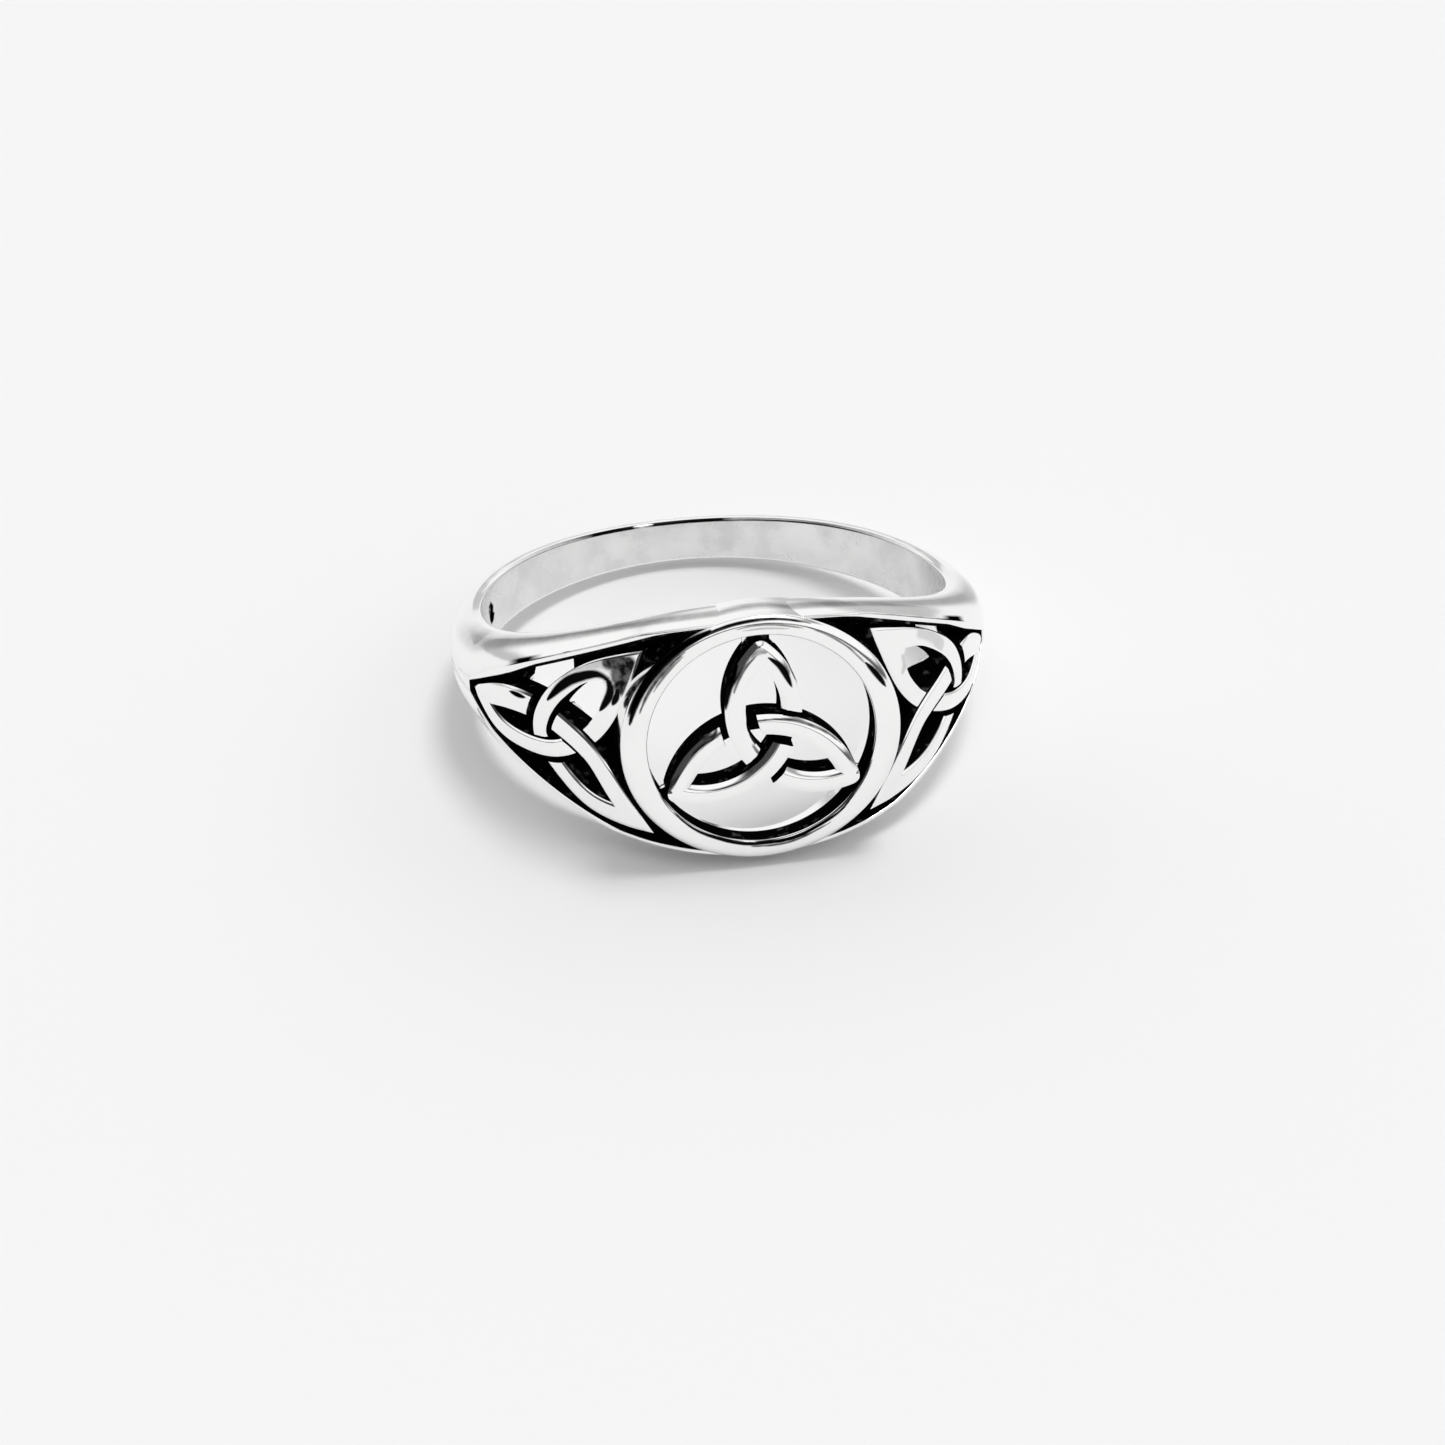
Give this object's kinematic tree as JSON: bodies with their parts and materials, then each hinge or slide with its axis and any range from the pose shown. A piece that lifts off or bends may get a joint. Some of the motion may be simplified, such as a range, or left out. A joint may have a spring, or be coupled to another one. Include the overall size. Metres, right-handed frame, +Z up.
{
  "type": "finger ring",
  "caption": "One-piece silver signet-shaped finger ring with a pierced round bezel holding a three-lobed interlaced knot, and a smaller knot pierced in each shoulder.",
  "frame": {"origin": "middle of the ring's footprint on the table that it lies on", "axes": "+Z up from the table, -Y towards the bezel, X across the bezel; the finger hole leans about 11 degrees from +Z towards +Y"},
  "size_m": [0.0208, 0.0214, 0.0097],
  "materials": {
    "silver": "polished"
  },
  "bodies": {
    "root": {"knot_ring": "silver"}
  },
  "joints": []
}
